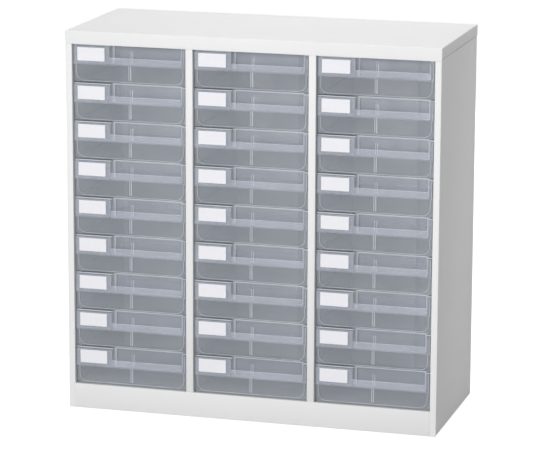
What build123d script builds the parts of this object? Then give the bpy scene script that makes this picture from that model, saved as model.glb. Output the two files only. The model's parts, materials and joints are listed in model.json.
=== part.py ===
"""A floor-standing document case of enamelled sheet steel with three columns of clear letter drawers.

Millimetres, +Z up. The origin is the middle of the footprint on the floor, and the drawers face -Y.
"""

from build123d import *
import os

# Case
case_width = 870.0
case_depth = 370.0
case_height = 880.0
sheet = 1.0
fold_radius = 2.0
rail_height = 30.0
cover_lip = 25.0
plinth_height = 58.0
stile_width = 15.5
mullion_width = 16.5
column_names = ("left", "middle", "right")
row_count = 9

# Folds and gaps of the case
front_return = 15.0
rail_return = 12.0
back_flange = 20.0
deck_flange = 20.0
web_flange = 6.0
joint_gap = 0.1
side_floor_gap = 3.5
front_floor_gap = 1.0

# Runners
ledge_width = 6.5
ledge_thickness = 1.0
runner_front_gap = 17.0
runner_back_gap = 26.0
runner_flange_gap = 1.0
ledge_end_gap = 3.0

# Stop rails and braces
stop_rail_width = 40.0
stop_rail_depth = 32.0
stop_rail_foot = 12.0
brace_width = 40.0
brace_places = (-40.0, 100.0)

# Drawer
drawer_side_gap = 2.6
drawer_bottom_gap = 3.5
drawer_top_gap = 1.0
drawer_wall = 2.4
drawer_corner_radius = 18.0
pan_height = 6.0
front_setback = 1.5
front_corner_radius = 5.0
front_edge_radius = 1.0
raised_depth = 9.0
raised_height = 42.0
raised_drop = 2.5
raised_corner_radius = 3.0
rim_clearance = 1.0
rim_thickness = 2.2
ledge_clearance = 0.4
side_clearance = 1.5
stop_clearance = 0.5

# Finger pull
label_zone_width = 84.5
end_post_width = 9.0
channel_depth = 20.0
channel_corner_radius = 8.0
lip_height = 18.0
lip_thickness = 2.2
rib_width = 6.0
rib_proud = 0.8
rib_top_drop = 12.0
gate_rib_width = 1.5
gate_rib_place = 40.0
gate_rib_drop = 3.0
floor_rib_width = 1.5
floor_rib_height = 1.0
floor_rib_places = (-50.0, 50.0)
floor_rib_margin = 30.0

# Label card and its pocket
card_width = 65.0
card_height = 30.3
card_thickness = 0.4
card_side_margin = 10.0
card_drop = 3.2
card_slot_depth = 0.8
card_slot_clearance = 0.7
card_lip_overlap = 0.5
card_lip_thickness = 0.5

# Base corners, levelling bolts and foot pads
bracket_size = 60.0
bracket_thickness = 2.0
bracket_level = 18.0
bracket_deck_gap = 1.0
bolt_radius = 4.0
bolt_hole_clearance = 0.2
bolt_collar_radius = 7.5
bolt_collar_height = 6.0
bolt_rise = 12.0
pad_radius = 15.0
pad_height = 9.0
pad_floor = 4.0

# Screws of the cover and the back
screw_radius = 1.8
screw_length = 10.0
screw_head_radius = 4.0
screw_hole_clearance = 0.1
cover_screw_count = 5
cover_screw_margin = 45.0
back_screw_rows = 5
back_screw_margin = 60.0
back_screw_inset = 10.0

# Planes that the pieces share
half_width = case_width / 2
half_depth = case_depth / 2
side_outer = half_width - sheet
side_inner = side_outer - sheet
stile_inner = half_width - stile_width
back_outer = half_depth - sheet
back_inner = back_outer - sheet
flange_inner = back_inner - sheet
front_inner = -half_depth + sheet
opening_bottom = plinth_height
opening_top = case_height - rail_height
deck_top = plinth_height - sheet
cover_under = case_height - sheet
stop_face = back_inner - stop_rail_depth
row_pitch = (opening_top - opening_bottom) / row_count
column_count = len(column_names)
mullion_count = column_count - 1
opening_width = (2 * stile_inner - mullion_count * mullion_width) / column_count
column_pitch = opening_width + mullion_width

# Planes of one drawer, from its column's middle, the case's front and its row's base
face_y = front_setback
low_y = face_y + raised_depth
rear_y = half_depth + stop_face - stop_clearance
front_half = opening_width / 2 - drawer_side_gap
body_half = opening_width / 2 - ledge_width - side_clearance
rim_half = opening_width / 2 - rim_clearance
tray_bottom = drawer_bottom_gap
tray_top = row_pitch - drawer_top_gap
raised_top = tray_top - raised_drop
raised_bottom = raised_top - raised_height
ledge_top = tray_top - rim_thickness - ledge_clearance
lip_top = raised_bottom + lip_height
channel_left = -front_half + label_zone_width + drawer_wall
channel_right = front_half - end_post_width
channel_back = face_y + channel_depth

# How far a cutter runs past what it cuts
over = 5.0


def block(x_range, y_range, z_range):
    """A box between two places on each axis."""
    (x0, x1), (y0, y1), (z0, z1) = x_range, y_range, z_range
    middle = ((x0 + x1) / 2, (y0 + y1) / 2, (z0 + z1) / 2)
    return Pos(*middle) * Box(x1 - x0, y1 - y0, z1 - z0)


def both(limit):
    """The range from minus a limit to the limit."""
    return (-limit, limit)


def mirrored(side, low, high):
    """A range on one side of the middle plane, where side is -1 or 1."""
    return tuple(sorted((side * low, side * high)))


def rod_y(radius, y_range, x, z):
    """A round bar along Y."""
    y0, y1 = y_range
    return Pos(x, (y0 + y1) / 2, z) * Cylinder(radius, y1 - y0, rotation=(90, 0, 0))


def column_middle(column):
    """X of the middle of a column of drawers."""
    return (column - (column_count - 1) / 2) * column_pitch


def row_base(row):
    """Z of the base of a row, where row 1 is the top one."""
    return opening_bottom + (row_count - row) * row_pitch


# Fasteners of the cover and the back


def cover_screw_places():
    """X and Z of each screw in the cover's rear lip."""
    reach = half_width - cover_screw_margin
    step = 2 * reach / (cover_screw_count - 1)
    level = case_height - cover_lip / 2
    return [(-reach + step * index, level) for index in range(cover_screw_count)]


def back_screw_places():
    """X and Z of each screw along the two side edges of the back."""
    low = back_screw_margin
    high = case_height - back_screw_margin
    step = (high - low) / (back_screw_rows - 1)
    edge = side_inner - back_screw_inset
    return [(side * edge, low + step * index) for side in (-1, 1) for index in range(back_screw_rows)]


def screw(x, z):
    """A screw driven forwards from the back, its low head seated on the back panel."""
    head = rod_y(screw_head_radius, (back_outer, half_depth), x, z)
    shank = rod_y(screw_radius, (back_outer - screw_length, back_outer), x, z)
    return head + shank


def screw_holes(places, y_range, radius):
    """Round cutters along Y at the given places."""
    return [rod_y(radius, y_range, x, z) for x, z in places]


shank_hole = screw_radius + screw_hole_clearance
head_hole = screw_head_radius + screw_hole_clearance
behind = (flange_inner - over, half_depth + over)


# The folded case


def top_cover():
    """Top sheet folded down on four sides, with the deeper front fold as the rail."""
    outer = block(both(half_width), both(half_depth), (opening_top, case_height))
    seams = outer.edges().group_by(Axis.Z)[-1] + outer.edges().filter_by(Axis.Z)
    outer = fillet(seams, fold_radius)
    hollow = block(both(side_outer), (front_inner, back_outer), (opening_top - over, cover_under))
    inner_seams = hollow.edges().group_by(Axis.Z)[-1] + hollow.edges().filter_by(Axis.Z)
    hollow = fillet(inner_seams, fold_radius - sheet)
    below_lip = block(both(half_width + over), (front_inner, half_depth + over),
                      (opening_top - over, case_height - cover_lip))
    fold = block(both(side_inner), (-half_depth, -half_depth + rail_return), (opening_top, opening_top + sheet))
    cover = outer - hollow - below_lip + fold
    return cover - screw_holes(cover_screw_places(), behind, head_hole)


def side_panel(side):
    """One side sheet with its front stile and the flange that takes the back."""
    skin = block(mirrored(side, side_inner, side_outer), (-half_depth, back_outer), (side_floor_gap, opening_top))
    stile = block(mirrored(side, stile_inner, side_outer), (-half_depth, front_inner),
                  (front_floor_gap, opening_top))
    shell = skin + stile
    corner = shell.edges().filter_by(Axis.Z).group_by(Axis.Y)[0].sort_by(Axis.X)[0 if side < 0 else -1]
    shell = fillet(corner, sheet * 0.8)
    under_cover = block(mirrored(side, side_inner, side_outer), (front_inner + fold_radius, back_outer - fold_radius),
                        (opening_top - over, cover_under - fold_radius))
    fold = block(mirrored(side, stile_inner, stile_inner + sheet), (-half_depth, -half_depth + front_return),
                 (opening_bottom, opening_top))
    flange = block(mirrored(side, side_inner - back_flange, side_inner), (flange_inner, back_inner),
                   (side_floor_gap, opening_top))
    panel = shell + under_cover + fold + flange
    return panel - screw_holes(back_screw_places(), behind, shank_hole)


def back_panel():
    """Flat back sheet, set between the sides and under the cover's rear lip."""
    panel = block(both(side_inner), (back_inner, back_outer), (side_floor_gap, cover_under - fold_radius))
    return panel - screw_holes(cover_screw_places() + back_screw_places(), behind, shank_hole)


def floor_deck():
    """Floor of the drawer space, folded down along both sides."""
    deck = block(both(side_inner), (front_inner, flange_inner), (deck_top - sheet, deck_top))
    for side in (-1, 1):
        deck += block(mirrored(side, side_inner - sheet, side_inner), (front_inner + front_return, flange_inner),
                      (deck_top - deck_flange, deck_top))
    return deck


def plinth_front():
    """Kick panel, flush between the stiles, folded back along its top and bottom."""
    span = both(stile_inner - joint_gap)
    panel = block(span, (-half_depth, front_inner), (front_floor_gap, plinth_height))
    panel += block(span, (-half_depth, -half_depth + rail_return), (deck_top, plinth_height))
    panel += block(span, (-half_depth, -half_depth + rail_return), (front_floor_gap, front_floor_gap + sheet))
    nose = panel.edges().filter_by(Axis.X).group_by(Axis.Y)[0]
    return fillet(nose, sheet * 0.8)


def plinth_back():
    """Rear cross rail of the base, a channel that carries the back edge of the deck."""
    span = both(side_inner - back_flange - joint_gap)
    top = deck_top - sheet
    rail = block(span, (flange_inner, back_inner), (side_floor_gap, top))
    for low, high in ((top - sheet, top), (side_floor_gap, side_floor_gap + sheet)):
        rail += block(span, (back_inner - front_return, back_inner), (low, high))
    return rail


def mullion_middle(index):
    """X of the middle of a mullion, counted from the left."""
    return (index - (mullion_count - 1) / 2) * column_pitch


def mullion(index):
    """Front channel of a partition, with one return folded in to meet the web."""
    middle = mullion_middle(index)
    half = mullion_width / 2
    rear = -half_depth + front_return
    face = block((middle - half, middle + half), (-half_depth, front_inner), (opening_bottom, opening_top))
    left = block((middle - half, middle - half + sheet), (-half_depth, rear), (opening_bottom, opening_top))
    right = block((middle + half - sheet, middle + half), (-half_depth, rear), (opening_bottom, opening_top))
    tab = block((middle - half, middle - sheet / 2), (rear - sheet, rear), (opening_bottom, opening_top))
    return face + left + right + tab


def partition(index):
    """Web sheet between two columns, folded along its back and its foot."""
    middle = mullion_middle(index)
    half = sheet / 2
    front = -half_depth + front_return - 2 * sheet
    web = block((middle - half, middle + half), (front, back_inner), (deck_top, opening_top))
    flange = block((middle - half, middle - half + back_flange), (flange_inner, back_inner), (deck_top, opening_top))
    foot = block((middle - half, middle + half + web_flange), (front + rail_return, flange_inner),
                 (deck_top, deck_top + sheet))
    return web + flange + foot


def runner_panel(column, side):
    """Guide sheet along one side of a column, and the ledge rail welded to it for each drawer."""
    edge = column_middle(column) + side * opening_width / 2
    at_case = column == (0 if side < 0 else column_count - 1)
    depth_behind = (side_inner - stile_inner) if at_case else (mullion_width - sheet) / 2
    front = -half_depth + runner_front_gap
    rear = back_inner - runner_back_gap
    levels = (opening_bottom + runner_flange_gap, opening_top - runner_flange_gap)

    def span(low, high):
        """X range at given distances from the opening's edge, positive away from the drawers."""
        return tuple(sorted((edge + side * low, edge + side * high)))

    panel = block(span(0, sheet), (front, rear), levels)
    panel += block(span(0, depth_behind), (front, front + sheet), levels)
    panel += block(span(0, depth_behind), (rear - sheet, rear), levels)
    tops = [row_base(row) + ledge_top for row in range(1, row_count + 1)]
    ledges = [block(span(-ledge_width, 0), (front + ledge_end_gap, rear - ledge_end_gap),
                    (top - ledge_thickness, top)) for top in tops]
    return Compound(children=[panel, *ledges])


def stop_rail(column):
    """Hat rail on the back panel that the drawers of one column close against."""
    middle = column_middle(column)
    half = stop_rail_width / 2
    levels = (deck_top, opening_top)
    rail = block((middle - half, middle + half), (stop_face, stop_face + sheet), levels)
    for side in (-1, 1):
        inner = middle + side * (half - sheet)
        outer = middle + side * half
        foot = middle + side * (half + stop_rail_foot)
        rail += block(sorted((inner, outer)), (stop_face, back_inner), levels)
        rail += block(sorted((inner, foot)), (flange_inner, back_inner), levels)
    return rail


def top_brace(middle_y):
    """Channel that lies on the partitions and carries the cover."""
    front = middle_y - brace_width / 2
    rear = middle_y + brace_width / 2
    span = both(side_inner - joint_gap)
    brace = block(span, (front, rear), (opening_top, opening_top + sheet))
    brace += block(span, (front, front + sheet), (opening_top, cover_under))
    brace += block(span, (front, rear), (cover_under - sheet, cover_under))
    return brace


# Base corners and feet


def bolt_place(side, end):
    """X and Y of a levelling bolt, where side and end are -1 or 1."""
    inset = bracket_size / 2
    end_plane = front_inner if end < 0 else flange_inner
    return side * (side_inner - inset), end_plane - end * inset


def corner_bracket(side, end):
    """Angle plate in a base corner, drilled for its levelling bolt."""
    end_plane = front_inner if end < 0 else flange_inner
    inward_y = end_plane - end * bracket_size
    flange_y = end_plane - end * bracket_thickness
    across = mirrored(side, side_inner - bracket_size, side_inner)
    along = sorted((end_plane, inward_y))
    levels = (bracket_level, deck_top - deck_flange - bracket_deck_gap)
    plate = block(across, along, (bracket_level, bracket_level + bracket_thickness))
    wall = block(mirrored(side, side_inner - bracket_thickness, side_inner), along, levels)
    flange = block(across, sorted((end_plane, flange_y)), levels)
    x, y = bolt_place(side, end)
    hole = Pos(x, y, bracket_level) * Cylinder(bolt_radius + bolt_hole_clearance, 4 * bracket_thickness)
    return plate + wall + flange - hole


def levelling_bolt(side, end):
    """Threaded foot bolt with the hexagon collar that the bracket stands on."""
    x, y = bolt_place(side, end)
    top = bracket_level + bracket_thickness + bolt_rise
    stem = Pos(x, y, (pad_floor + top) / 2) * Cylinder(bolt_radius, top - pad_floor)
    collar = Pos(x, y, bracket_level - bolt_collar_height) * extrude(
        RegularPolygon(bolt_collar_radius, 6), bolt_collar_height)
    return stem + collar


def foot_pad(side, end):
    """Round glide with a blind socket for the bolt."""
    x, y = bolt_place(side, end)
    pad = Pos(x, y, pad_height / 2) * Cylinder(pad_radius, pad_height)
    pad = fillet(pad.edges().group_by(Axis.Z)[-1], fold_radius)
    socket_height = pad_height - pad_floor + over
    socket = Cylinder(bolt_radius + bolt_hole_clearance, socket_height)
    return pad - Pos(x, y, pad_floor + socket_height / 2) * socket


# One drawer and its label card


def tub(half, y_range, bottom, top, radius):
    """A box rounded along its lower sides, its lower back and its two back corners."""
    shape = block(both(half), y_range, (bottom, top))
    low_sides = shape.edges().filter_by(Axis.Y).group_by(Axis.Z)[0]
    low_back = shape.edges().filter_by(Axis.X).group_by(Axis.Z)[0].group_by(Axis.Y)[-1]
    back_corners = shape.edges().filter_by(Axis.Z).group_by(Axis.Y)[-1]
    return fillet(low_sides + low_back + back_corners, radius)


def drawer_body():
    """Open tray with side rims that hang on the ledges."""
    shell = tub(body_half, (low_y, rear_y), tray_bottom, tray_top, drawer_corner_radius)
    rim = block(both(rim_half), (low_y + drawer_wall, rear_y), (tray_top - rim_thickness, tray_top))
    rim = fillet(rim.edges().filter_by(Axis.Z).group_by(Axis.Y)[-1], drawer_corner_radius)
    hollow = tub(body_half - drawer_wall, (low_y + drawer_wall, rear_y - drawer_wall), tray_bottom + drawer_wall,
                 tray_top + over, drawer_corner_radius - drawer_wall)
    body = shell + rim - hollow
    for place in floor_rib_places:
        body += block((place - floor_rib_width / 2, place + floor_rib_width / 2),
                      (low_y + floor_rib_margin, rear_y - floor_rib_margin),
                      (tray_bottom, tray_bottom + drawer_wall + floor_rib_height))
    return body


def drawer_front():
    """Front wall with its raised upper zone, before the pull and the pocket are cut."""
    wall = block(both(front_half), (low_y, low_y + drawer_wall), (tray_bottom, tray_top))
    wall = fillet(wall.edges().filter_by(Axis.Y).group_by(Axis.Z)[0], front_corner_radius)
    raised = block(both(front_half), (face_y, low_y + drawer_wall), (raised_bottom, raised_top))
    raised = fillet(raised.edges().filter_by(Axis.Z).group_by(Axis.Y)[0], raised_corner_radius)
    raised = fillet(raised.edges().group_by(Axis.Y)[0], front_edge_radius)
    housing = block((channel_left - drawer_wall, channel_right + drawer_wall), (low_y, channel_back + drawer_wall),
                    (raised_bottom, tray_top))
    return wall + raised + housing


def finger_channel():
    """Cutter of the trough behind the pull's lip, open at the top and above the lip."""
    trough = block((channel_left, channel_right), (face_y + lip_thickness, channel_back),
                   (raised_bottom + drawer_wall, tray_top + over))
    trough = fillet(trough.edges().filter_by(Axis.Z).group_by(Axis.Y)[-1], channel_corner_radius)
    mouth = block((channel_left, channel_right), (face_y - over, face_y + lip_thickness + over),
                  (lip_top - lip_thickness / 2, tray_top + over))
    return trough + mouth


def pull_lip_bead():
    """Rounded top edge of the pull's lip."""
    width = channel_right - channel_left
    middle = (channel_left + channel_right) / 2
    bead = Cylinder(lip_thickness / 2, width, rotation=(0, 90, 0))
    return Pos(middle, face_y + lip_thickness / 2, lip_top - lip_thickness / 2) * bead


def front_ribs():
    """Ribs of the front: one down the middle, one fine one beside it in the trough."""
    half = rib_width / 2
    lower = block(both(half), (low_y - rib_proud, low_y + drawer_wall), (tray_bottom + front_corner_radius,
                                                                         raised_bottom + drawer_wall))
    upper = block(both(half), (channel_back - rib_proud, channel_back + drawer_wall),
                  (raised_bottom, raised_top - rib_top_drop))
    fine_half = gate_rib_width / 2
    fine = block((gate_rib_place - fine_half, gate_rib_place + fine_half),
                 (channel_back - rib_proud, channel_back + drawer_wall), (raised_bottom, raised_top - gate_rib_drop))
    return lower + upper + fine


card_left = -front_half + card_side_margin
card_middle = card_left + card_width / 2
card_bottom = raised_top - card_drop - card_height


def label_pocket():
    """Cutter of the card's slot, its window, and the hollow behind them."""
    window = block((card_middle - card_width / 2 + card_lip_overlap, card_middle + card_width / 2 - card_lip_overlap),
                   (face_y - over, face_y + card_lip_thickness), (card_bottom, raised_top + over))
    slot_half = (card_width + card_slot_clearance) / 2
    slot = block((card_middle - slot_half, card_middle + slot_half),
                 (face_y + card_lip_thickness, face_y + card_lip_thickness + card_slot_depth),
                 (card_bottom, raised_top + over))
    hollow = block((-front_half + drawer_wall, -front_half + label_zone_width), (face_y + drawer_wall, low_y),
                   (raised_bottom + drawer_wall, raised_top + over))
    return window + slot + hollow


def label_card():
    """Blank card that stands in its slot."""
    slack = (card_slot_depth - card_thickness) / 2
    front = face_y + card_lip_thickness + slack
    return block((card_left, card_left + card_width), (front, front + card_thickness),
                 (card_bottom, card_bottom + card_height))


def drawer_tray():
    """The moulded drawer as its pan, its side and back walls, and its front, solids that meet face to face."""
    tray = drawer_body() + drawer_front() - finger_channel() - label_pocket()
    tray += pull_lip_bead() + front_ribs()
    across = both(rim_half + over)
    pan_top = tray_bottom + pan_height
    pan = block(across, (face_y - over, rear_y + over), (tray_bottom - over, pan_top))
    front = block(across, (face_y - over, low_y + drawer_wall), (pan_top, tray_top + over))
    front += block(across, (face_y - over, channel_back + drawer_wall), (raised_bottom, tray_top + over))
    return [tray & pan, tray - pan - front, tray & front]


def assemble():
    """Every node by its name."""
    nodes = {
        "top_cover": top_cover(),
        "side_panel_left": side_panel(-1),
        "side_panel_right": side_panel(1),
        "back_panel": back_panel(),
        "floor_deck": floor_deck(),
        "plinth_front": plinth_front(),
        "plinth_back": plinth_back(),
        "cover_screws": Compound(children=[screw(x, z) for x, z in cover_screw_places()]),
        "back_panel_screws": Compound(children=[screw(x, z) for x, z in back_screw_places()]),
    }
    for index in range(mullion_count):
        name = f"{index + 1}"
        nodes[f"mullion_{name}"] = mullion(index)
        nodes[f"partition_{name}"] = partition(index)
    for index, place in enumerate(brace_places, start=1):
        nodes[f"top_brace_{index}"] = top_brace(place)
    bolts = []
    for side, side_name in ((-1, "left"), (1, "right")):
        for end, end_name in ((-1, "front"), (1, "back")):
            nodes[f"corner_bracket_{end_name}_{side_name}"] = corner_bracket(side, end)
            nodes[f"foot_pad_{end_name}_{side_name}"] = foot_pad(side, end)
            bolts.append(levelling_bolt(side, end))
    nodes["levelling_bolts"] = Compound(children=bolts)
    tray = drawer_tray()
    card = label_card()
    for column, name in enumerate(column_names):
        nodes[f"stop_rail_{name}"] = stop_rail(column)
        for side, side_name in ((-1, "left"), (1, "right")):
            nodes[f"runners_{name}_column_{side_name}"] = runner_panel(column, side)
        for row in range(1, row_count + 1):
            place = Pos(column_middle(column), -half_depth, row_base(row))
            nodes[f"drawer_{name}_{row}"] = Compound(children=[place * piece for piece in (*tray, card)])
    return nodes


os.makedirs("parts", exist_ok=True)
for node_name, node_shape in assemble().items():
    export_step(node_shape, f"parts/{node_name}.step")
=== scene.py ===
"""The document drawer cabinet, dressed: an enamelled steel case with clear smoked letter drawers.

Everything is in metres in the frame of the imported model: +Z up, the drawers face -Y, the floor at zero.
"""

import json
import logging
import math
from dataclasses import dataclass, field
from enum import Enum
from typing import Callable, Iterable

import bmesh
import bpy
from mathutils import Matrix, Vector


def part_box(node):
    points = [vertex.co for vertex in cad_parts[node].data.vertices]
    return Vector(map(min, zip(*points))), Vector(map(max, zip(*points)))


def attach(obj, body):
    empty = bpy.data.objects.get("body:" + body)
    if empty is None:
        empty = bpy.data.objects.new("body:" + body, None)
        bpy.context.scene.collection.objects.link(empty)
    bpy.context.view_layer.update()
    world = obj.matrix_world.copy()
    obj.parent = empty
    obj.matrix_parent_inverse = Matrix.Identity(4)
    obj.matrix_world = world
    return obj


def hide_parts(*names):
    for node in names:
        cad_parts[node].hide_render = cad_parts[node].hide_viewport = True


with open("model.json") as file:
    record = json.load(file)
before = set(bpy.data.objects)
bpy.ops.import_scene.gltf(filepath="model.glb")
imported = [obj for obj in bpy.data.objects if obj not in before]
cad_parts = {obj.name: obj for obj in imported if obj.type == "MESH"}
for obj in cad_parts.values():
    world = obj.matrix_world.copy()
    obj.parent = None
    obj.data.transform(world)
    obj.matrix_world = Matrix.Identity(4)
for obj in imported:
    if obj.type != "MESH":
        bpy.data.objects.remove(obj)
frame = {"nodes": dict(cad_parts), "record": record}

log = logging.getLogger("cabinet")

Range = tuple[float, float]
Triple = tuple[float, float, float]
EdgeTest = Callable[[bmesh.types.BMEdge], bool]
FaceTest = Callable[[bmesh.types.BMFace], bool]

# Places within NEAR of each other count as the same, and points within MERGED become one.
NEAR = 1e-5
MERGED = NEAR / 10

# The share of its length from which a normal faces along an axis, and an edge runs along it.
FACING = 0.9
STRAIGHT = 0.999

# The angles below which faces are merged or shaded as one, and above which an edge is softened.
FLAT_BELOW = math.radians(0.6)
SMOOTH_BELOW = math.radians(32)
SOFT_ABOVE = math.radians(40)

# The range that holds most of a noise texture's values.
NOISE_RANGE: Range = (0.3, 0.7)


class Axis(Enum):
    """The three axes, with the place of each in a vector."""

    X = 0
    Y = 1
    Z = 2


class Operation(Enum):
    """How two solids are combined."""

    JOIN = "UNION"
    CUT = "DIFFERENCE"


class Skin(Enum):
    """The finishes of a drawer's faces, plain or with painted light, with the place of each in its list of
    materials.
    """

    WALL = 0
    # A lighter copy of the styrene that paints a highlight on thin edges, floors and roundings; its higher
    # alpha stands for the longer path through an edge.
    EDGE = 1
    # A lighter, bluer copy of the styrene that paints light on faces in front of a second wall; its slightly
    # higher alpha stands for the second wall.
    DOUBLE = 2


class Side(Enum):
    """The two sides of the case, as someone facing the drawers sees them."""

    LEFT = -1
    RIGHT = 1

    @property
    def word(self) -> str:
        """The side's word in the names of pieces."""
        return self.name.lower()


class Column(Enum):
    """The three columns of drawers, from the left."""

    LEFT = 0
    MIDDLE = 1
    RIGHT = 2

    @property
    def word(self) -> str:
        """The column's word in the names of pieces."""
        return self.name.lower()


class Graph:
    """A material's node tree, with short calls that add and join its nodes."""

    def __init__(self, name: str) -> None:
        """Start a material.

        Args:
            name: the material's name.
        """
        self.material = bpy.data.materials.new(name)
        self.material.use_nodes = True
        self.tree = self.material.node_tree
        self.shader = self.tree.nodes["Principled BSDF"]
        self.place = self.add("ShaderNodeTexCoord").outputs["Object"]

    def add(self, kind: str, **settings: object) -> bpy.types.Node:
        """Add a node.

        Args:
            kind: the node's type name.
            settings: attributes of the node to set.

        Returns:
            The new node.
        """
        node = self.tree.nodes.new(kind)
        for name, value in settings.items():
            setattr(node, name, value)
        return node

    def join(self, source: bpy.types.NodeSocket, target: bpy.types.NodeSocket) -> None:
        """Link an output to an input."""
        self.tree.links.new(source, target)

    def stretched(self, scale: Triple) -> bpy.types.NodeSocket:
        """Give object coordinates scaled by axis.

        Args:
            scale: the factor on each axis.

        Returns:
            The mapped coordinates.
        """
        mapping = self.add("ShaderNodeMapping")
        mapping.inputs["Scale"].default_value = scale
        self.join(self.place, mapping.inputs["Vector"])
        return mapping.outputs["Vector"]

    def noise(self, scale: float, detail: float, stretch: Triple | None = None) -> bpy.types.NodeSocket:
        """Add a noise texture.

        Args:
            scale: features per metre, roughly.
            detail: octaves of finer noise.
            stretch: the factor on each axis of the object's coordinates, or None to take them as they are.

        Returns:
            The noise value.
        """
        node = self.add("ShaderNodeTexNoise")
        node.inputs["Scale"].default_value = scale
        node.inputs["Detail"].default_value = detail
        self.join(self.stretched(stretch) if stretch else self.place, node.inputs["Vector"])
        return node.outputs["Fac"]

    def spread(self, value: bpy.types.NodeSocket, low: float, high: float) -> bpy.types.NodeSocket:
        """Map a noise value, whose useful part is its middle, to a range.

        Args:
            value: the noise value.
            low: the output at the noise's low end.
            high: the output at the noise's high end.

        Returns:
            The mapped value.
        """
        node = self.add("ShaderNodeMapRange")
        node.inputs["From Min"].default_value, node.inputs["From Max"].default_value = NOISE_RANGE
        node.inputs["To Min"].default_value = low
        node.inputs["To Max"].default_value = high
        self.join(value, node.inputs["Value"])
        return node.outputs["Result"]

    def tint(self, value: bpy.types.NodeSocket, colour: Triple, shade: float) -> None:
        """Let the surface's colour wander between a colour and a darker or lighter one.

        Args:
            value: the noise value that it follows.
            colour: the linear colour at the noise's low end.
            shade: the factor on the colour at the noise's high end.
        """
        # A Mix node has its two colours at inputs 6 and 7 and their mix at output 2.
        node = self.add("ShaderNodeMix", data_type="RGBA")
        node.inputs[6].default_value = (*colour, 1.0)
        node.inputs[7].default_value = (*[min(1.0, part * shade) for part in colour], 1.0)
        self.join(self.spread(value, 0.0, 1.0), node.inputs[0])
        self.join(node.outputs[2], self.shader.inputs["Base Color"])

    def gloss(self, value: bpy.types.NodeSocket, roughness: float, uneven: Range) -> None:
        """Let the surface's roughness wander around a middle value.

        Args:
            value: the noise value that it follows.
            roughness: the middle roughness.
            uneven: what is added to it at the noise's low end and at its high end.
        """
        low, high = (roughness + change for change in uneven)
        self.join(self.spread(value, low, high), self.shader.inputs["Roughness"])

    def bump(self, height: bpy.types.NodeSocket, distance: float) -> None:
        """Raise the surface by a value.

        Args:
            height: the value.
            distance: the height in metres of a value of 1.
        """
        node = self.add("ShaderNodeBump")
        node.inputs["Distance"].default_value = distance
        self.join(height, node.inputs["Height"])
        self.join(node.outputs["Normal"], self.shader.inputs["Normal"])

    def set(self, **values: object) -> None:
        """Set inputs of the shader, where an underscore in a name stands for a space."""
        for name, value in values.items():
            self.shader.inputs[name.replace("_", " ")].default_value = value


@dataclass(frozen=True)
class Enamel:
    """Baked enamel on sheet steel: a faint orange peel and slightly uneven gloss."""

    name: str
    colour: Triple
    roughness: float = 0.42
    specular: float = 0.10
    cloud_scale: float = 3.0
    cloud_shade: float = 0.975
    gloss_scale: float = 35.0
    gloss_uneven: Range = (-0.04, 0.05)
    peel_scale: float = 420.0
    peel_height: float = 0.00003

    def make(self) -> bpy.types.Material:
        """Build the material.

        Returns:
            The finished material.
        """
        graph = Graph(self.name)
        graph.tint(graph.noise(self.cloud_scale, detail=3.0), self.colour, self.cloud_shade)
        graph.gloss(graph.noise(self.gloss_scale, detail=4.0), self.roughness, self.gloss_uneven)
        graph.bump(graph.noise(self.peel_scale, detail=1.0), self.peel_height)
        graph.set(Specular_IOR_Level=self.specular)
        return graph.material


@dataclass(frozen=True)
class ClearStyrene:
    """Lightly smoked moulded styrene that the case shows through."""

    name: str
    colour: Triple
    alpha: float
    refraction: float = 1.59
    roughness: float = 0.12
    flow_scale: float = 14.0
    flow_stretch: Triple = (1.0, 0.4, 2.2)
    flow_shade: float = 1.12
    gloss_scale: float = 60.0
    gloss_uneven: Range = (-0.04, 0.06)
    wave_scale: float = 40.0
    wave_stretch: Triple = (1.0, 0.5, 1.6)
    wave_height: float = 0.00004

    def make(self) -> bpy.types.Material:
        """Build the material.

        Returns:
            The finished material.
        """
        graph = Graph(self.name)
        flow = graph.noise(self.flow_scale, detail=3.0, stretch=self.flow_stretch)
        graph.tint(flow, self.colour, self.flow_shade)
        graph.gloss(graph.noise(self.gloss_scale, detail=3.0), self.roughness, self.gloss_uneven)
        wave = graph.noise(self.wave_scale, detail=1.0, stretch=self.wave_stretch)
        graph.bump(wave, self.wave_height)
        graph.set(Alpha=self.alpha, IOR=self.refraction)
        return graph.material


@dataclass(frozen=True)
class CardPaper:
    """Plain white card with a faint fibre."""

    name: str
    colour: Triple = (0.86, 0.86, 0.90)
    roughness: float = 0.85
    fibre_scale: float = 900.0
    fibre_stretch: Triple = (1.0, 1.0, 0.35)
    fibre_shade: float = 0.95
    fibre_height: float = 0.00003

    def make(self) -> bpy.types.Material:
        """Build the material.

        Returns:
            The finished material.
        """
        graph = Graph(self.name)
        fibre = graph.noise(self.fibre_scale, detail=4.0, stretch=self.fibre_stretch)
        graph.tint(fibre, self.colour, self.fibre_shade)
        graph.bump(fibre, self.fibre_height)
        graph.set(Roughness=self.roughness)
        return graph.material


@dataclass(frozen=True)
class PlatedSteel:
    """Bright zinc plating with faint rolling marks."""

    name: str
    colour: Triple = (0.62, 0.63, 0.64)
    roughness: float = 0.34
    patch_scale: float = 260.0
    patch_shade: float = 0.86
    mark_scale: float = 240.0
    mark_stretch: Triple = (1.0, 14.0, 1.0)
    mark_uneven: Range = (-0.07, 0.1)
    mark_height: float = 0.00002

    def make(self) -> bpy.types.Material:
        """Build the material.

        Returns:
            The finished material.
        """
        graph = Graph(self.name)
        patch = graph.add("ShaderNodeTexVoronoi")
        patch.inputs["Scale"].default_value = self.patch_scale
        graph.join(graph.place, patch.inputs["Vector"])
        graph.tint(patch.outputs["Distance"], self.colour, self.patch_shade)
        marks = graph.noise(self.mark_scale, detail=3.0, stretch=self.mark_stretch)
        graph.gloss(marks, self.roughness, self.mark_uneven)
        graph.bump(marks, self.mark_height)
        graph.set(Metallic=1.0)
        return graph.material


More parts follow.
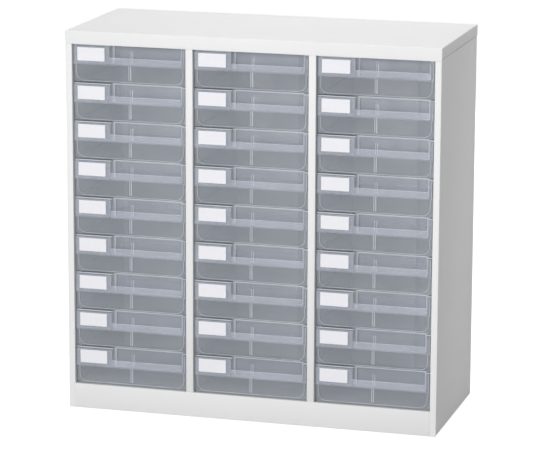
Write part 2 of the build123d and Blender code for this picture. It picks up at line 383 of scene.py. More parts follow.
@dataclass(frozen=True)
class MouldedPlastic:
    """Matt dark plastic with a spark-eroded grain."""

    name: str
    colour: Triple = (0.035, 0.035, 0.038)
    roughness: float = 0.6
    scuff_scale: float = 50.0
    scuff_shade: float = 1.6
    scuff_uneven: Range = (-0.1, 0.1)
    grain_scale: float = 1400.0
    grain_height: float = 0.00004

    def make(self) -> bpy.types.Material:
        """Build the material.

        Returns:
            The finished material.
        """
        graph = Graph(self.name)
        scuff = graph.noise(self.scuff_scale, detail=4.0)
        graph.tint(scuff, self.colour, self.scuff_shade)
        graph.gloss(scuff, self.roughness, self.scuff_uneven)
        graph.bump(graph.noise(self.grain_scale, detail=2.0), self.grain_height)
        return graph.material


@dataclass
class Finishes:
    """Every material of the cabinet, made once."""

    front_enamel: bpy.types.Material = field(init=False)
    inner_enamel: bpy.types.Material = field(init=False)
    plating: bpy.types.Material = field(init=False)
    foot_plastic: bpy.types.Material = field(init=False)
    styrene: bpy.types.Material = field(init=False)
    styrene_painted_highlight: bpy.types.Material = field(init=False)
    styrene_painted_light: bpy.types.Material = field(init=False)
    card: bpy.types.Material = field(init=False)

    def __post_init__(self) -> None:
        """Make the materials."""
        self.front_enamel = Enamel("front_enamel", (0.83, 0.83, 0.835)).make()
        self.inner_enamel = Enamel("inner_enamel", (0.60, 0.62, 0.62), roughness=0.45).make()
        self.plating = PlatedSteel("zinc_plating").make()
        self.foot_plastic = MouldedPlastic("foot_plastic").make()
        self.styrene = ClearStyrene("smoked_styrene", (0.56, 0.60, 0.66), 0.20).make()
        # A lighter, denser copy: painted highlight on the trays' thin edges and floors.
        self.styrene_painted_highlight = ClearStyrene("styrene_painted_highlight", (0.80, 0.84, 0.90), 0.55).make()
        # A lighter, bluer copy: painted light on the trays' doubled walls.
        self.styrene_painted_light = ClearStyrene("styrene_painted_light", (0.72, 0.76, 0.88), 0.24).make()
        self.card = CardPaper("card_paper").make()


def flat(edge: bmesh.types.BMEdge, axis: Axis, value: float) -> bool:
    """Tell whether both ends of an edge lie on a plane.

    Args:
        edge: the edge.
        axis: the plane's normal axis.
        value: the plane's place on that axis.

    Returns:
        True where both ends are on the plane.
    """
    return all(abs(vert.co[axis.value] - value) < NEAR for vert in edge.verts)


def along(edge: bmesh.types.BMEdge, axis: Axis) -> bool:
    """Tell whether an edge runs along an axis."""
    span = edge.verts[1].co - edge.verts[0].co
    return abs(span[axis.value]) > STRAIGHT * span.length


def folds(edge: bmesh.types.BMEdge, axis: Axis) -> bool:
    """Tell whether an edge joins two faces along an axis."""
    return along(edge, axis) and len(edge.link_faces) == 2


def corner_at(run: Axis, axis: Axis, value: float) -> EdgeTest:
    """Give the test for edges that run along one axis and lie on a plane across another.

    Args:
        run: the axis that the edges run along.
        axis: the plane's normal axis.
        value: the plane's place on that axis.

    Returns:
        The test.
    """
    return lambda edge: along(edge, run) and flat(edge, axis, value)


class Solid:
    """A mesh under construction, shaped by bmesh operators."""

    def __init__(self) -> None:
        """Start with nothing."""
        self.bm = bmesh.new()

    @classmethod
    def block(cls, x: Range, y: Range, z: Range) -> "Solid":
        """Make a box between two places on each axis.

        Args:
            x: the range on X.
            y: the range on Y.
            z: the range on Z.

        Returns:
            The box.
        """
        solid = cls()
        bmesh.ops.create_cube(solid.bm, size=1.0)
        size = Vector((x[1] - x[0], y[1] - y[0], z[1] - z[0]))
        middle = Vector((x[0] + x[1], y[0] + y[1], z[0] + z[1])) / 2
        bmesh.ops.scale(solid.bm, vec=size, verts=solid.bm.verts)
        bmesh.ops.translate(solid.bm, vec=middle, verts=solid.bm.verts)
        return solid

    @classmethod
    def rod(cls, start: Vector, end: Vector, radius: float, sides: int = 24) -> "Solid":
        """Make a round bar between two points.

        Args:
            start: the centre of one end.
            end: the centre of the other end.
            radius: the bar's radius.
            sides: how many sides its outline has.

        Returns:
            The bar.
        """
        solid = cls()
        run = end - start
        turn = run.to_track_quat("Z", "Y").to_matrix().to_4x4()
        place = Matrix.Translation((start + end) / 2) @ turn
        bmesh.ops.create_cone(solid.bm, cap_ends=True, segments=sides, radius1=radius, radius2=radius,
                              depth=run.length, matrix=place)
        return solid

    @classmethod
    def sheet(cls, path: Iterable[Vector], run: Vector) -> "Solid":
        """Make an open folded surface by moving a chain of edges along a line.

        Args:
            path: the chain's corners.
            run: how far and which way the chain moves.

        Returns:
            The surface, without a thickness.
        """
        solid = cls()
        verts = [solid.bm.verts.new(point) for point in path]
        edges = [solid.bm.edges.new(pair) for pair in zip(verts, verts[1:])]
        return solid.drawn_out(edges, run)

    def drawn_out(self, edges: list[bmesh.types.BMEdge], run: Vector) -> "Solid":
        """Draw edges out into new faces.

        Args:
            edges: the edges.
            run: how far and which way they move.

        Returns:
            This solid.
        """
        moved = bmesh.ops.extrude_edge_only(self.bm, edges=edges)["geom"]
        verts = [item for item in moved if isinstance(item, bmesh.types.BMVert)]
        bmesh.ops.translate(self.bm, vec=run, verts=verts)
        return self

    def edges(self, test: EdgeTest) -> list[bmesh.types.BMEdge]:
        """List the edges that pass a test."""
        return [edge for edge in self.bm.edges if test(edge)]

    def rounded(self, test: EdgeTest, radius: float, segments: int) -> "Solid":
        """Round the edges that pass a test.

        Args:
            test: picks the edges.
            radius: the rounding's radius.
            segments: how many faces the rounding has.

        Returns:
            This solid.
        """
        bmesh.ops.bevel(self.bm, geom=self.edges(test), offset=radius, offset_type="OFFSET",
                        segments=segments, profile=0.5, affect="EDGES", material=-1, clamp_overlap=True)
        return self

    def facing(self, outward: Vector) -> "Solid":
        """Turn the surface so that its foremost face looks outward.

        Args:
            outward: a direction that points out of the folded piece.

        Returns:
            This solid.
        """
        self.bm.normal_update()
        foremost = max(self.bm.faces, key=lambda face: face.calc_center_median().dot(outward))
        if foremost.normal.dot(outward) < 0.0:
            bmesh.ops.reverse_faces(self.bm, faces=self.bm.faces)
        return self

    def split(self, axis: Axis, value: float) -> "Solid":
        """Add edges where a plane crosses the mesh."""
        normal = Vector([1.0 if place == axis.value else 0.0 for place in range(3)])
        geometry = [*self.bm.verts, *self.bm.edges, *self.bm.faces]
        bmesh.ops.bisect_plane(self.bm, geom=geometry, dist=MERGED, plane_co=normal * value, plane_no=normal)
        return self

    def without(self, test: FaceTest) -> "Solid":
        """Delete the faces that pass a test."""
        doomed = [face for face in self.bm.faces if test(face)]
        bmesh.ops.delete(self.bm, geom=doomed, context="FACES")
        return self

    def folded(self, test: EdgeTest, run: Vector) -> "Solid":
        """Fold a new flange out of the boundary edges that pass a test.

        Args:
            test: picks the edges.
            run: the flange's width and direction.

        Returns:
            This solid.
        """
        return self.drawn_out(self.edges(test), run)

    def combined(self, other: "Solid", operation: Operation) -> "Solid":
        """Join another solid to this one, or cut it out of this one.

        Args:
            other: the other solid, which is used up.
            operation: join or cut.

        Returns:
            This solid.
        """
        pair = [bpy.data.objects.new("work", solid.as_mesh("work")) for solid in (self, other)]
        for item in pair:
            bpy.context.scene.collection.objects.link(item)
        modifier = pair[0].modifiers.new("combine", "BOOLEAN")
        modifier.operation = operation.value
        modifier.solver = "EXACT"
        modifier.object = pair[1]
        graph = bpy.context.evaluated_depsgraph_get()
        made = bpy.data.meshes.new_from_object(pair[0].evaluated_get(graph))
        self.bm = bmesh.new()
        self.bm.from_mesh(made)
        used = [made, *[item.data for item in pair]]
        for item in pair:
            bpy.data.objects.remove(item)
        for mesh in used:
            bpy.data.meshes.remove(mesh)
        return self

    def cleaned(self) -> "Solid":
        """Merge doubles and dissolve edges within flat faces."""
        bmesh.ops.remove_doubles(self.bm, verts=self.bm.verts, dist=MERGED)
        bmesh.ops.dissolve_limit(self.bm, angle_limit=FLAT_BELOW, verts=self.bm.verts, edges=self.bm.edges,
                                 delimit={"NORMAL"})
        return self

    def as_mesh(self, name: str) -> bpy.types.Mesh:
        """Write the shape to a mesh and let the working copy go.

        Args:
            name: the mesh's name.

        Returns:
            The mesh.
        """
        mesh = bpy.data.meshes.new(name)
        self.bm.to_mesh(mesh)
        self.bm.free()
        return mesh


def piece(name: str, mesh: bpy.types.Mesh, materials: Iterable[bpy.types.Material]
          ) -> bpy.types.Object:
    """Put a mesh into the scene as a named piece, smooth but for its sharp edges.

    Args:
        name: the piece's name.
        mesh: its mesh, already in place.
        materials: its materials in the order of its faces' numbers.

    Returns:
        The piece.
    """
    for material in materials:
        mesh.materials.append(material)
    mesh.shade_smooth()
    mesh.set_sharp_from_angle(angle=SMOOTH_BELOW)
    made = bpy.data.objects.new(name, mesh)
    bpy.context.scene.collection.objects.link(made)
    log.info("%s: %d faces", name, len(mesh.polygons))
    return made


def soften(target: bpy.types.Object, width: float, segments: int = 2, material: int = -1) -> None:
    """Round a piece's sharp edges.

    Args:
        target: the piece.
        width: the rounding's width.
        segments: how many faces the rounding has.
        material: the number of the material on the rounding, or -1 for that of the faces beside it.
    """
    modifier = target.modifiers.new("soften", "BEVEL")
    modifier.width = width
    modifier.segments = segments
    modifier.limit_method = "ANGLE"
    modifier.angle_limit = SOFT_ABOVE
    modifier.material = material
    modifier.harden_normals = False


def thicken(target: bpy.types.Object, thickness: float) -> None:
    """Give a folded surface its sheet thickness on the inside."""
    modifier = target.modifiers.new("sheet", "SOLIDIFY")
    modifier.thickness = thickness
    modifier.offset = -1.0
    modifier.use_even_offset = True


@dataclass
class Case:
    """The folded steel case: cover, sides, plinth and mullions, and the inner sheets that stay as packed."""

    finishes: Finishes
    sheet: float = 0.001
    fold: float = 0.002
    small_fold: float = 0.0009
    lip: float = 0.025
    seam_width: float = 0.0022
    seam_depth: float = 0.0015
    seam_step: float = 0.00055
    rail: float = 0.030
    rail_return: float = 0.012
    stile: float = 0.0155
    stile_return: float = 0.015
    skin_bottom: float = 0.0035
    edge: float = 0.00025
    fold_segments: int = 5
    small_fold_segments: int = 3
    low: Vector = field(init=False)
    high: Vector = field(init=False)

    def __post_init__(self) -> None:
        """Read the case's outline from the frame."""
        self.low, self.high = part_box("top_cover")

    def shown(self, name: str, solid: Solid, node: str) -> bpy.types.Object:
        """Turn a folded surface into a finished piece that stands for a node.

        Args:
            name: the piece's name.
            solid: the folded surface.
            node: the node that it replaces.

        Returns:
            The piece.
        """
        made = piece(name, solid.as_mesh(name), [self.finishes.front_enamel])
        thicken(made, self.sheet)
        soften(made, self.edge)
        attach(made, "case")
        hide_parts(node)
        return made

    def build_cover(self) -> bpy.types.Object:
        """Fold the top cover with its rail over the drawers."""
        bottom = self.high.z - self.rail
        lip_level = self.high.z - self.lip
        front = self.low.y
        solid = Solid.block((self.low.x, self.high.x), (front, self.high.y), (bottom, self.high.z))

        def under_rail(edge: bmesh.types.BMEdge) -> bool:
            """Pick the edges along the foot of the rail's front."""
            return flat(edge, Axis.Z, bottom) and flat(edge, Axis.Y, front)

        solid.without(lambda face: face.normal.z < -FACING)
        solid.rounded(lambda edge: flat(edge, Axis.Z, self.high.z) or along(edge, Axis.Z), self.fold,
                      self.fold_segments)
        solid.split(Axis.Z, lip_level)
        solid.without(lambda face: face.calc_center_median().z < lip_level and face.normal.y > -FACING)
        solid.folded(lambda edge: edge.is_boundary and under_rail(edge), Vector((0.0, self.rail_return, 0.0)))
        solid.rounded(lambda edge: under_rail(edge) and folds(edge, Axis.X), self.small_fold,
                      self.small_fold_segments)
        return self.shown("cover", solid, "top_cover")

    def build_side(self, side: Side) -> bpy.types.Object:
        """Fold one side with its front stile and its rear flange."""
        sign = side.value
        box_low, box_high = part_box(f"side_panel_{side.word}")
        outer = box_high.x if sign > 0 else box_low.x
        inner = box_low.x if sign > 0 else box_high.x
        stile_inner = sign * (abs(self.high.x) - self.stile)
        front = box_low.y
        rear = box_high.y - self.sheet
        bottom = box_low.z
        stile_top = self.high.z - self.rail
        corners = ((inner, rear), (outer, rear), (outer, front), (stile_inner, front),
                   (stile_inner, front + self.stile_return))
        path = [Vector((x, y, bottom)) for x, y in corners]
        solid = Solid.sheet(path, Vector((0.0, 0.0, box_high.z - bottom))).facing(Vector((sign, 0.0, 0.0)))
        solid.rounded(lambda edge: folds(edge, Axis.Z), self.small_fold, self.small_fold_segments)
        seam = self.high.z - self.lip - self.seam_width
        step_top = seam + self.seam_step
        for level in (self.skin_bottom, stile_top, seam, step_top):
            solid.split(Axis.Z, level)
        tucked = [vert for vert in solid.bm.verts if vert.co.z > (seam + step_top) / 2]
        bmesh.ops.translate(solid.bm, vec=(-sign * self.seam_depth, 0.0, 0.0), verts=tucked)

        def spare(face: bmesh.types.BMFace) -> bool:
            """Pick the skin below its lower edge, and the folds at the height of the cover's rail."""
            middle = face.calc_center_median()
            in_stile = middle.y < front + self.small_fold
            off_skin = abs(middle.x) < abs(outer) - self.seam_depth - NEAR
            below_skin = middle.z < self.skin_bottom and middle.y > front + self.small_fold
            return below_skin or (middle.z > stile_top and (in_stile or off_skin))

        return self.shown(f"side_{side.word}", solid.without(spare), f"side_panel_{side.word}")

    def build_plinth(self) -> bpy.types.Object:
        """Fold the kick panel."""
        low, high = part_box("plinth_front")
        corners = ((high.y, high.z), (low.y, high.z), (low.y, low.z), (high.y, low.z))
        path = [Vector((low.x, y, z)) for y, z in corners]
        solid = Solid.sheet(path, Vector((high.x - low.x, 0.0, 0.0))).facing(Vector((0.0, -1.0, 0.0)))
        solid.rounded(lambda edge: folds(edge, Axis.X), self.small_fold, self.small_fold_segments)
        return self.shown("plinth", solid, "plinth_front")

    def build_mullion(self, number: int) -> bpy.types.Object:
        """Fold one upright between two columns."""
        low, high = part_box(f"mullion_{number}")
        flange_end = (low.x + high.x) / 2 - self.sheet / 2
        corners = ((high.x, high.y), (high.x, low.y), (low.x, low.y), (low.x, high.y), (flange_end, high.y))
        path = [Vector((x, y, low.z)) for x, y in corners]
        solid = Solid.sheet(path, Vector((0.0, 0.0, high.z - low.z))).facing(Vector((0.0, -1.0, 0.0)))
        solid.rounded(lambda edge: folds(edge, Axis.Z), self.small_fold, self.small_fold_segments)
        return self.shown(f"mullion_{number}_channel", solid, f"mullion_{number}")

    def dress_nodes(self) -> None:
        """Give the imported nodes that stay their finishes."""
        slots = {entry["node"]: entry["material_slot"] for entry in frame["record"]["subparts"]}
        by_slot = {
            "front_enamel": self.finishes.front_enamel,
            "inner_enamel": self.finishes.inner_enamel,
            "zinc_plate": self.finishes.plating,
            "steel_fastener": self.finishes.plating,
            "foot_plastic": self.finishes.foot_plastic,
            "clear_styrol": self.finishes.styrene,
        }
        for name, node in frame["nodes"].items():
            node.data.materials.clear()
            node.data.materials.append(by_slot[slots[name]])

    def build(self) -> None:
        """Build every piece of the case."""
        self.build_cover()
        for side in Side:
            self.build_side(side)
        self.build_plinth()
        for number in (1, 2):
            self.build_mullion(number)
        self.dress_nodes()


@dataclass
class Tray:
    """One clear letter drawer, around the middle of its front plane and its own bottom."""

    rim_half: float
    length: float
    height: float
    wall: float = 0.0024
    corner: float = 0.018
    corner_segments: int = 7
    rim_overhang: float = 0.007
    rim_thickness: float = 0.0022
    front_inset: float = 0.0016
    front_corner: float = 0.005
    front_corner_segments: int = 5
    front_skirt: float = 0.002
    raised_depth: float = 0.009
    raised_height: float = 0.042
    raised_drop: float = 0.0025
    raised_corner: float = 0.003
    raised_corner_segments: int = 4
    label_zone: float = 0.0845
    end_post: float = 0.009
    channel_depth: float = 0.020
    channel_corner: float = 0.008
    channel_corner_segments: int = 5
    lip_height: float = 0.018
    lip_thickness: float = 0.0022
    shoulder_proud: float = 0.0006
    shoulder_width: float = 0.0012
    rib_width: float = 0.006
    rib_proud: float = 0.0008
    rib_draft: float = 0.0014
    rib_top_drop: float = 0.012
    gate_rib_width: float = 0.0015
    gate_rib_place: float = 0.040
    gate_rib_drop: float = 0.003
    card_width: float = 0.065
    card_height: float = 0.0303
    card_thickness: float = 0.0004
    card_corner: float = 0.0008
    card_corner_segments: int = 3
    card_side_margin: float = 0.010
    card_drop: float = 0.0032
    slot_depth: float = 0.0008
    slot_clearance: float = 0.0007
    slot_lip: float = 0.0005
    over: float = 0.005
    edge: float = 0.0003
    bead_facing: float = 0.4
    rounding_facing: float = 0.3
    flank_facing: Range = (0.3, 0.8)

    def __post_init__(self) -> None:
        """Work out the planes that the parts of the tray share."""
        self.front_half = self.rim_half - self.front_inset
        self.body_half = self.rim_half - self.rim_overhang
        self.raised_top = self.height - self.raised_drop
        self.raised_bottom = self.raised_top - self.raised_height
        self.floor_middle = self.raised_bottom + self.wall / 2
        self.low_front = self.raised_depth
        self.channel_left = -self.front_half + self.label_zone + self.wall
        self.channel_right = self.front_half - self.end_post
        self.lip_top = self.raised_bottom + self.lip_height
        self.card_left = -self.front_half + self.card_side_margin
        self.card_bottom = self.raised_top - self.card_drop - self.card_height

    def tub(self, inset: float, top: float) -> Solid:
        """Make a block rounded along its lower sides, its lower back and its back corners.

        Args:
            inset: how far every wall stands in from the outer skin.
            top: the block's top.

        Returns:
            The block.
        """
        half = self.body_half - inset
        rear = self.length - inset
        bottom = inset
        solid = Solid.block((-half, half), (self.low_front + inset, rear), (bottom, top))

        def round_edge(edge: bmesh.types.BMEdge) -> bool:
            """Pick the lower side edges, the lower back edge and the back corners."""
            low_side = along(edge, Axis.Y) and flat(edge, Axis.Z, bottom)
            low_back = flat(edge, Axis.Z, bottom) and flat(edge, Axis.Y, rear)
            back_corner = along(edge, Axis.Z) and flat(edge, Axis.Y, rear)
            return low_side or low_back or back_corner

        return solid.rounded(round_edge, self.corner - inset, self.corner_segments)

    def rims(self) -> Solid:
        """Make the flat rims that hang on the runners, as one plate."""
        solid = Solid.block((-self.rim_half, self.rim_half), (self.low_front + self.wall, self.length),
                            (self.height - self.rim_thickness, self.height))
        return solid.rounded(corner_at(Axis.Z, Axis.Y, self.length), self.corner, self.corner_segments)

    def front_wall(self) -> Solid:
        """Make the full-height front wall, which hangs a little below the tub."""
        solid = Solid.block((-self.front_half, self.front_half), (self.low_front, self.low_front + self.wall),
                            (-self.front_skirt, self.height))
        return solid.rounded(corner_at(Axis.Y, Axis.Z, -self.front_skirt), self.front_corner,
                             self.front_corner_segments)

    def shoulder_plate(self, inset: float, front: float, top: float) -> Solid:
        """Make a plate on the front wall with the tub's outline.

        Args:
            inset: how far its edge stands in from the tub's outer skin.
            front: its front plane.
            top: its top.

        Returns:
            The plate.
        """
        half = self.body_half - inset
        bottom = self.shoulder_proud + inset
        solid = Solid.block((-half, half), (front, self.low_front + self.wall / 2), (bottom, top))
        return solid.rounded(corner_at(Axis.Y, Axis.Z, bottom), self.corner - inset, self.corner_segments)

    def shoulder(self) -> Solid:
        """Make the shoulder that stands where the tub's skin meets the front wall."""
        front = self.low_front - self.shoulder_proud
        ring = self.shoulder_plate(0.0, front, self.floor_middle)
        hollow = self.shoulder_plate(self.shoulder_width, front - self.over, self.floor_middle + self.over)
        return ring.combined(hollow, Operation.CUT)

    def raised_zone(self) -> Solid:
        """Make the raised upper zone of the front, before it is hollowed."""
        solid = Solid.block((-self.front_half, self.front_half), (0.0, self.low_front + self.wall),
                            (self.raised_bottom, self.raised_top))
        return solid.rounded(corner_at(Axis.Z, Axis.Y, 0.0), self.raised_corner, self.raised_corner_segments)

    def housing(self) -> Solid:
        """Make the block behind the raised zone that the finger channel is cut from."""
        return Solid.block((self.channel_left - self.wall, self.channel_right + self.wall),
                           (self.low_front, self.channel_depth + self.wall),
                           (self.raised_bottom, self.height))

    def channel(self) -> Solid:
        """Make the cutter of the trough behind the lip."""
        solid = Solid.block((self.channel_left, self.channel_right), (self.lip_thickness, self.channel_depth),
                            (self.raised_bottom + self.wall, self.height + self.over))
        return solid.rounded(corner_at(Axis.Z, Axis.Y, self.channel_depth), self.channel_corner,
                             self.channel_corner_segments)

    def mouth(self) -> Solid:
        """Make the cutter of the opening above the lip."""
        return Solid.block((self.channel_left, self.channel_right),
                           (-self.over, self.lip_thickness + self.over),
                           (self.lip_top - self.lip_thickness / 2, self.height + self.over))

    def lip_bead(self) -> Solid:
        """Make the rounded top edge of the lip."""
        level = self.lip_top - self.lip_thickness / 2
        middle = self.lip_thickness / 2
        start = Vector((self.channel_left - self.wall / 2, middle, level))
        end = Vector((self.channel_right + self.wall / 2, middle, level))
        return Solid.rod(start, end, self.lip_thickness / 2)

    def pocket(self) -> list[Solid]:
        """Make the cutters of the card's window, its slot and the hollow behind them."""
        right = self.card_left + self.card_width
        top = self.raised_top + self.over
        window = Solid.block((self.card_left + self.slot_lip, right - self.slot_lip),
                             (-self.over, self.slot_lip), (self.card_bottom, top))
        slack = self.slot_clearance / 2
        slot = Solid.block((self.card_left - slack, right + slack),
                           (self.slot_lip - NEAR, self.slot_lip + self.slot_depth), (self.card_bottom, top))
        hollow = Solid.block((-self.front_half + self.wall, -self.front_half + self.label_zone),
                             (self.wall, self.low_front), (self.raised_bottom + self.wall, top))
        return [window, slot, hollow]

    def drafted_rib(self, wall_front: float, levels: Range) -> Solid:
        """Make a middle rib whose sides slope.

        Args:
            wall_front: the front plane of the wall that it stands on.
            levels: its lower and its upper end.

        Returns:
            The rib.
        """
        half = self.rib_width / 2
        front = wall_front - self.rib_proud
        solid = Solid.block((-half, half), (front, wall_front + self.wall / 2), levels)
        solid.split(Axis.Y, wall_front)
        nose = [vert for vert in solid.bm.verts if abs(vert.co.y - front) < NEAR]
        bmesh.ops.scale(solid.bm, vec=(1.0 - self.rib_draft / half, 1.0, 1.0), verts=nose)
        return solid

    def ribs(self) -> list[Solid]:
        """Make the ribs down the middle of the front and beside it in the trough."""
        back = self.channel_depth
        lower = self.drafted_rib(self.low_front, (self.front_corner, self.floor_middle))
        upper = self.drafted_rib(back, (self.floor_middle, self.raised_top - self.rib_top_drop))
        place = self.gate_rib_place
        fine = Solid.block((place - self.gate_rib_width / 2, place + self.gate_rib_width / 2),
                           (back - self.rib_proud, back + self.wall / 2),
                           (self.floor_middle, self.raised_top - self.gate_rib_drop))
        return [lower, upper, fine]

    def in_front(self, place: Vector) -> bool:
        """Tell whether a place is in the drawer's front, with its pocket and its finger pull."""
        return place.y < self.channel_depth + self.wall + NEAR

    def in_pull(self, place: Vector) -> bool:
        """Tell whether a place is in the front between the ends of the finger pull."""
        return self.in_front(place) and self.channel_left < place.x < self.channel_right

    def gathers_light(self, face: bmesh.types.BMFace) -> bool:
        """Tell whether a face is a thin edge or a floor, where a painted highlight stands for the light that
        gathers there.

        Args:
            face: a face of the tray.

        Returns:
            True on the wall tops, the strip over the raised zone, the lip's bead, the pull's ends, the floors
            of the pull and the pocket, the shoulder, the flanks of the middle ribs and the front's ends.
        """
        middle = face.calc_center_median()
        normal = face.normal
        if not self.in_front(middle):
            return middle.z > self.height - NEAR
        to_end = min(abs(middle.x - end) for end in (self.channel_left, self.channel_right))
        least_slope, most_slope = self.flank_facing
        strip = middle.z > self.raised_top + NEAR
        bead = (self.in_pull(middle) and middle.y < self.lip_thickness
                and middle.z > self.lip_top - self.lip_thickness and normal.z > self.bead_facing)
        pull_end = (middle.z > self.lip_top and to_end < self.channel_corner
                    and abs(normal.x) > self.bead_facing)
        floor = self.raised_bottom < middle.z < self.raised_bottom + 2 * self.wall and normal.z > FACING
        shoulder = abs(middle.y + self.shoulder_proud - self.low_front) < NEAR and normal.y < -FACING
        flank = abs(middle.x) < self.rib_width / 2 and least_slope < abs(normal.x) < most_slope
        front_end = abs(abs(middle.x) - self.front_half) < NEAR
        return strip or bead or pull_end or floor or shoulder or flank or front_end

    def is_doubled(self, face: bmesh.types.BMFace) -> bool:
        """Tell whether a face is in front of a second wall or of a thick place, where light is painted on it.

        Args:
            face: a face of the tray.

        Returns:
            True on the raised zone, the back of the finger pull and the noses of the middle ribs.
        """
        middle = face.calc_center_median()
        normal = face.normal
        raised = (middle.y < self.raised_corner + NEAR and middle.z > self.raised_bottom
                  and normal.y < -self.rounding_facing)
        pull_back = self.in_pull(middle) and abs(middle.y - self.channel_depth) < NEAR and normal.y < -FACING
        walls = (self.low_front, self.channel_depth)
        on_nose = any(abs(middle.y + self.rib_proud - wall) < NEAR for wall in walls)
        return raised or pull_back or (on_nose and abs(middle.x) < self.rib_width / 2)

    def skin(self, face: bmesh.types.BMFace) -> Skin:
        """Tell which finish a face takes: the plain wall, the painted highlight or the painted light.

        Args:
            face: a face of the tray.

        Returns:
            The finish.
        """
        if self.gathers_light(face):
            return Skin.EDGE
        return Skin.DOUBLE if self.is_doubled(face) else Skin.WALL

    def build(self) -> bpy.types.Mesh:
        """Combine the parts into the tray's mesh.

        Returns:
            The mesh, around the middle of the tray's front plane and its bottom.
        """
        tray = self.tub(0.0, self.height).combined(self.rims(), Operation.JOIN)
        tray.combined(self.tub(self.wall, self.height + self.over), Operation.CUT)
        for part in (self.front_wall(), self.shoulder(), self.raised_zone(), self.housing()):
            tray.combined(part, Operation.JOIN)
        for cutter in (self.channel(), self.mouth(), *self.pocket()):
            tray.combined(cutter, Operation.CUT)
        for part in (self.lip_bead(), *self.ribs()):
            tray.combined(part, Operation.JOIN)
        tray.cleaned().split(Axis.Z, self.raised_top).bm.normal_update()
        # Edges and floors get the painted highlight, doubled walls the painted light.
        for face in tray.bm.faces:
            face.material_index = self.skin(face).value
        return tray.as_mesh("tray")

    def build_card(self) -> bpy.types.Mesh:
        """Make the blank card in its slot.

        Returns:
            The mesh, in the tray's own frame.
        """
        front = self.slot_lip + (self.slot_depth - self.card_thickness) / 2
        solid = Solid.block((self.card_left, self.card_left + self.card_width),
                            (front, front + self.card_thickness),
                            (self.card_bottom, self.card_bottom + self.card_height))
        solid.rounded(lambda edge: along(edge, Axis.Y), self.card_corner, self.card_corner_segments)
        return solid.as_mesh("card")


@dataclass
class Drawers:
    """The twenty-seven drawers in their three columns, each with its label card."""

    finishes: Finishes
    rows: int = 9

    def placed(self, mesh: bpy.types.Mesh, place: Vector, name: str) -> bpy.types.Mesh:
        """Copy a mesh and move the copy.

        Args:
            mesh: the mesh around its own origin.
            place: where its origin goes.
            name: the copy's name.

        Returns:
            The moved copy.
        """
        copy = mesh.copy()
        copy.name = name
        copy.transform(Matrix.Translation(place))
        return copy

    def build(self) -> None:
        """Build the tray once and put a copy of it and of its card at every drawer's place."""
        low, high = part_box("drawer_middle_1")
        tray = Tray((high.x - low.x) / 2, high.y - low.y, high.z - low.z)
        tray_mesh = tray.build()
        card_mesh = tray.build_card()
        # The plain styrene, then its copies with painted highlight and painted light.
        skins = [self.finishes.styrene, self.finishes.styrene_painted_highlight, self.finishes.styrene_painted_light]
        for column in Column:
            for row in range(1, self.rows + 1):
                node = f"drawer_{column.word}_{row}"
                low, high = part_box(node)
                place = Vector(((low.x + high.x) / 2, low.y, low.z))
                name = f"tray_{column.word}_{row}"
                body = piece(name, self.placed(tray_mesh, place, name), skins)
                # The roundings take the painted highlight.
                soften(body, tray.edge, material=Skin.EDGE.value)
                name = f"label_card_{column.word}_{row}"
                card = piece(name, self.placed(card_mesh, place, name), [self.finishes.card])
                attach(body, node)
                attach(card, node)
                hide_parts(node)
        for mesh in (tray_mesh, card_mesh):
            bpy.data.meshes.remove(mesh)


@dataclass(frozen=True)
class Softbox:
    """A square area lamp, which may be kept out of reflections."""

    name: str
    place: Triple
    aim: Triple
    size: float
    power: float
    mirrored: bool = True

    def hang(self) -> None:
        """Put the lamp into the scene."""
        data = bpy.data.lights.new(self.name, "AREA")
        data.shape = "SQUARE"
        data.size = self.size
        data.energy = self.power
        lamp = bpy.data.objects.new(self.name, data)
        bpy.context.scene.collection.objects.link(lamp)
        lamp.visible_glossy = self.mirrored
        lamp.location = self.place
        lamp.rotation_euler = (Vector(self.aim) - Vector(self.place)).to_track_quat("-Z", "Y").to_euler()


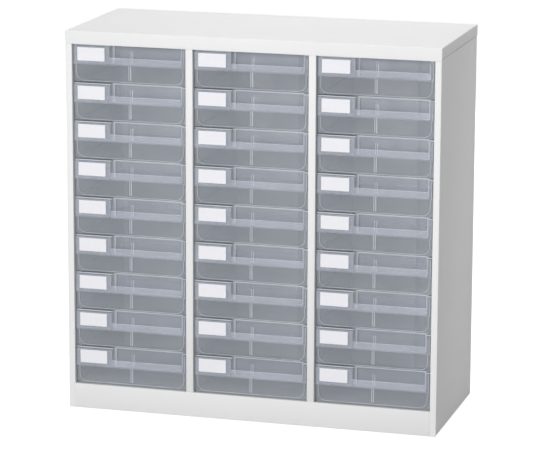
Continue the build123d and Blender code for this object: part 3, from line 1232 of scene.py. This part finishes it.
@dataclass
class Studio:
    """The plain white studio: world, floor, lamps and camera."""

    clear_layers: int = 48
    world_light: float = 0.32
    floor_half: float = 30.0
    floor_depth: float = 0.02
    floor_bounce: float = 0.35
    floor_shadow: float = 0.45
    floor_glow: float = 0.85
    lamps: tuple[Softbox, ...] = (
        Softbox("key", (-0.9, -4.4, 1.9), (0.0, 0.0, 0.55), 2.4, 116.0),
        Softbox("low_fill", (0.9, -3.2, 0.6), (0.3, 0.0, 0.3), 1.4, 22.0),
        Softbox("overhead", (0.2, 0.3, 3.0), (0.0, 0.0, 0.88), 2.4, 27.0),
        Softbox("side_rear", (2.3, 1.1, 2.2), (0.43, 0.0, 0.8), 1.3, 9.0),
        Softbox("back_fill", (-0.6, 3.8, 1.4), (0.0, 0.18, 0.45), 2.0, 42.0, mirrored=False),
    )
    camera_place: Triple = (1.7796, -6.2737, 1.8636)
    yaw: float = math.radians(15.885)
    pitch: float = math.radians(-12.484)
    roll: float = math.radians(0.21)
    focal_length: float = 193.1
    sensor: float = 36.0
    sight: float = 100.0

    def seen(self, tree: bpy.types.NodeTree) -> bpy.types.NodeSocket:
        """Give a value that is 1 for camera, glossy and transmission rays.

        Args:
            tree: the node tree to add it to.

        Returns:
            The value.
        """
        path = tree.nodes.new("ShaderNodeLightPath")
        total = path.outputs["Is Camera Ray"]
        for name in ("Is Glossy Ray", "Is Transmission Ray"):
            node = tree.nodes.new("ShaderNodeMath")
            node.operation = "MAXIMUM"
            tree.links.new(total, node.inputs[0])
            tree.links.new(path.outputs[name], node.inputs[1])
            total = node.outputs[0]
        return total

    def build_world(self) -> None:
        """Light the object evenly and show white behind it."""
        world = bpy.data.worlds.new("studio")
        bpy.context.scene.world = world
        world.use_nodes = True
        tree = world.node_tree
        back = tree.nodes["Background"]
        # A Mix node has its two values at inputs 2 and 3.
        mix = tree.nodes.new("ShaderNodeMix")
        tree.links.new(self.seen(tree), mix.inputs[0])
        mix.inputs[2].default_value = self.world_light
        mix.inputs[3].default_value = 1.0
        tree.links.new(mix.outputs[0], back.inputs["Strength"])
        back.inputs["Color"].default_value = (1.0, 1.0, 1.0, 1.0)

    def build_floor(self) -> None:
        """Lay a white floor that keeps the object's shadow."""
        span = (-self.floor_half, self.floor_half)
        solid = Solid.block(span, span, (-self.floor_depth, 0.0))
        floor = bpy.data.objects.new("floor", solid.as_mesh("floor"))
        bpy.context.scene.collection.objects.link(floor)
        material = bpy.data.materials.new("floor_white")
        material.use_nodes = True
        tree = material.node_tree
        tree.nodes.remove(tree.nodes["Principled BSDF"])
        output = tree.nodes["Material Output"]
        plain = tree.nodes.new("ShaderNodeBsdfDiffuse")
        plain.inputs["Color"].default_value = (*[self.floor_bounce] * 3, 1.0)
        shadowed = tree.nodes.new("ShaderNodeBsdfDiffuse")
        shadowed.inputs["Color"].default_value = (*[self.floor_shadow] * 3, 1.0)
        glow = tree.nodes.new("ShaderNodeEmission")
        glow.inputs["Strength"].default_value = self.floor_glow
        total = tree.nodes.new("ShaderNodeAddShader")
        tree.links.new(shadowed.outputs[0], total.inputs[0])
        tree.links.new(glow.outputs[0], total.inputs[1])
        mix = tree.nodes.new("ShaderNodeMixShader")
        tree.links.new(self.seen(tree), mix.inputs[0])
        tree.links.new(plain.outputs[0], mix.inputs[1])
        tree.links.new(total.outputs[0], mix.inputs[2])
        tree.links.new(mix.outputs[0], output.inputs["Surface"])
        floor.data.materials.append(material)

    def build_camera(self) -> None:
        """Set the camera where the photograph was taken from."""
        forward = Vector((-math.sin(self.yaw) * math.cos(self.pitch),
                          math.cos(self.yaw) * math.cos(self.pitch), math.sin(self.pitch)))
        level = Vector((math.cos(self.yaw), math.sin(self.yaw), 0.0))
        upright = level.cross(forward)
        right = math.cos(self.roll) * level + math.sin(self.roll) * upright
        up = right.cross(forward)
        data = bpy.data.cameras.new("camera")
        data.lens = self.focal_length
        data.sensor_width = self.sensor
        data.clip_end = self.sight
        camera = bpy.data.objects.new("camera", data)
        bpy.context.scene.collection.objects.link(camera)
        turn = Matrix((right, up, -forward)).transposed().to_4x4()
        camera.matrix_world = Matrix.Translation(Vector(self.camera_place)) @ turn
        bpy.context.scene.camera = camera

    def build(self) -> None:
        """Build the whole studio."""
        scene = bpy.context.scene
        scene.view_settings.view_transform = "Standard"
        scene.cycles.transparent_max_bounces = self.clear_layers
        self.build_world()
        self.build_floor()
        for lamp in self.lamps:
            lamp.hang()
        self.build_camera()


def main() -> None:
    """Build the cabinet and its studio."""
    logging.basicConfig(level=logging.INFO, format="%(message)s")
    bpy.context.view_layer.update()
    finishes = Finishes()
    Case(finishes).build()
    Drawers(finishes).build()
    Studio().build()


if __name__ == "__main__":
    main()
